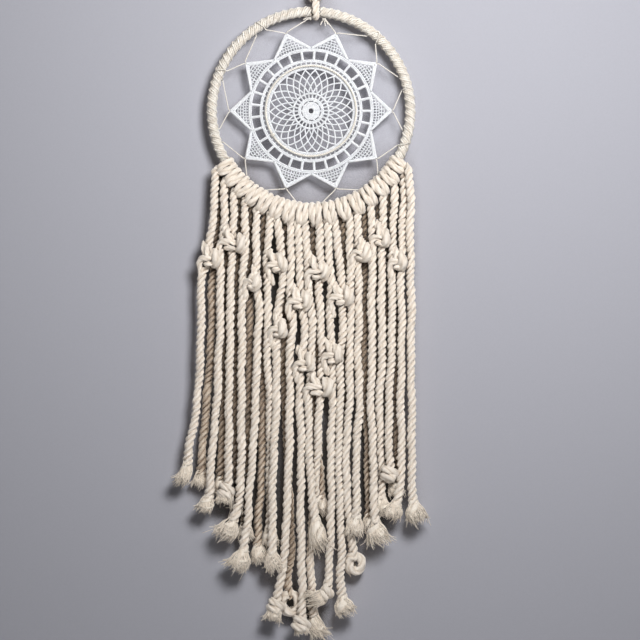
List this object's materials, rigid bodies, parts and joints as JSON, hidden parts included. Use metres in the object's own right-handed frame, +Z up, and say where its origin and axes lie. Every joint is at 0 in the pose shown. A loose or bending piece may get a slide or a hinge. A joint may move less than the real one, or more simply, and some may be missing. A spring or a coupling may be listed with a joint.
{
  "type": "dream catcher",
  "caption": "Cord-wrapped metal hoop with a crocheted doily laced into it, a long fringe of knotted cotton cords below and a hanging loop above.",
  "frame": {"origin": "where the top of the hanging loop rests on its nail", "axes": "+Z up, -Y out of the wall towards the viewer, +X to the viewer's right"},
  "size_m": [0.2235, 0.0232, 0.6706],
  "materials": {
    "cotton_cord": "matte twisted cotton",
    "cotton_wrap": "matte twisted cotton, closely wound",
    "doily_thread": "matte crochet thread",
    "lacing_string": "matte fine string",
    "hoop_metal": "plain wire"
  },
  "bodies": {
    "hanging_loop": {"hanging_loop": "cotton_cord"},
    "hanging_tie": {"hanging_tie": "cotton_cord"},
    "catcher": {"hoop_ring": "hoop_metal", "hoop_wrap_left": "cotton_wrap", "hoop_wrap_right": "cotton_wrap", "doily": "doily_thread", "doily_cord_ring": "lacing_string", "lacing_string": "lacing_string", "fringe_knot_01": "cotton_cord", "fringe_knot_02": "cotton_cord", "fringe_knot_03": "cotton_cord", "fringe_knot_04": "cotton_cord", "fringe_knot_05": "cotton_cord", "fringe_knot_06": "cotton_cord", "fringe_knot_07": "cotton_cord", "fringe_knot_08": "cotton_cord", "fringe_knot_09": "cotton_cord", "fringe_knot_10": "cotton_cord", "fringe_knot_11": "cotton_cord", "fringe_knot_12": "cotton_cord", "fringe_knot_13": "cotton_cord", "fringe_knot_14": "cotton_cord", "fringe_knot_15": "cotton_cord", "fringe_knot_16": "cotton_cord"},
    "fringe": {"fringe_strand_01_left": "cotton_cord", "fringe_strand_01_right": "cotton_cord", "fringe_strand_02_left": "cotton_cord", "fringe_strand_02_right": "cotton_cord", "fringe_strand_03_left": "cotton_cord", "fringe_strand_03_right": "cotton_cord", "fringe_strand_04_left": "cotton_cord", "fringe_strand_04_right": "cotton_cord", "fringe_strand_05_left": "cotton_cord", "fringe_strand_05_right": "cotton_cord", "fringe_strand_06_left": "cotton_cord", "fringe_strand_06_right": "cotton_cord", "fringe_strand_07_left": "cotton_cord", "fringe_strand_07_right": "cotton_cord", "fringe_strand_08_left": "cotton_cord", "fringe_strand_08_right": "cotton_cord", "fringe_strand_09_left": "cotton_cord", "fringe_strand_09_right": "cotton_cord", "fringe_strand_10_left": "cotton_cord", "fringe_strand_10_right": "cotton_cord", "fringe_strand_11_left": "cotton_cord", "fringe_strand_11_right": "cotton_cord", "fringe_strand_12_left": "cotton_cord", "fringe_strand_12_right": "cotton_cord", "fringe_strand_13_left": "cotton_cord", "fringe_strand_13_right": "cotton_cord", "fringe_strand_14_left": "cotton_cord", "fringe_strand_14_right": "cotton_cord", "fringe_strand_15_left": "cotton_cord", "fringe_strand_15_right": "cotton_cord", "fringe_strand_16_left": "cotton_cord", "fringe_strand_16_right": "cotton_cord"}
  },
  "joints": [
    {"name": "loop_twist", "type": "hinge", "parent": "hanging_loop", "child": "hanging_tie", "pos_m": [0, 0, -0.043], "axis": [0, 0, 1], "range_deg": [-45, 45]},
    {"name": "hoop_swing", "type": "hinge", "parent": "hanging_tie", "child": "catcher", "pos_m": [0, 0, -0.0651], "axis": [1, 0, 0], "range_deg": [-25, 25]},
    {"name": "fringe_swing", "type": "hinge", "parent": "catcher", "child": "fringe", "pos_m": [-0.0045, 0, -0.255], "axis": [1, 0, 0], "range_deg": [-8, 8]}
  ]
}
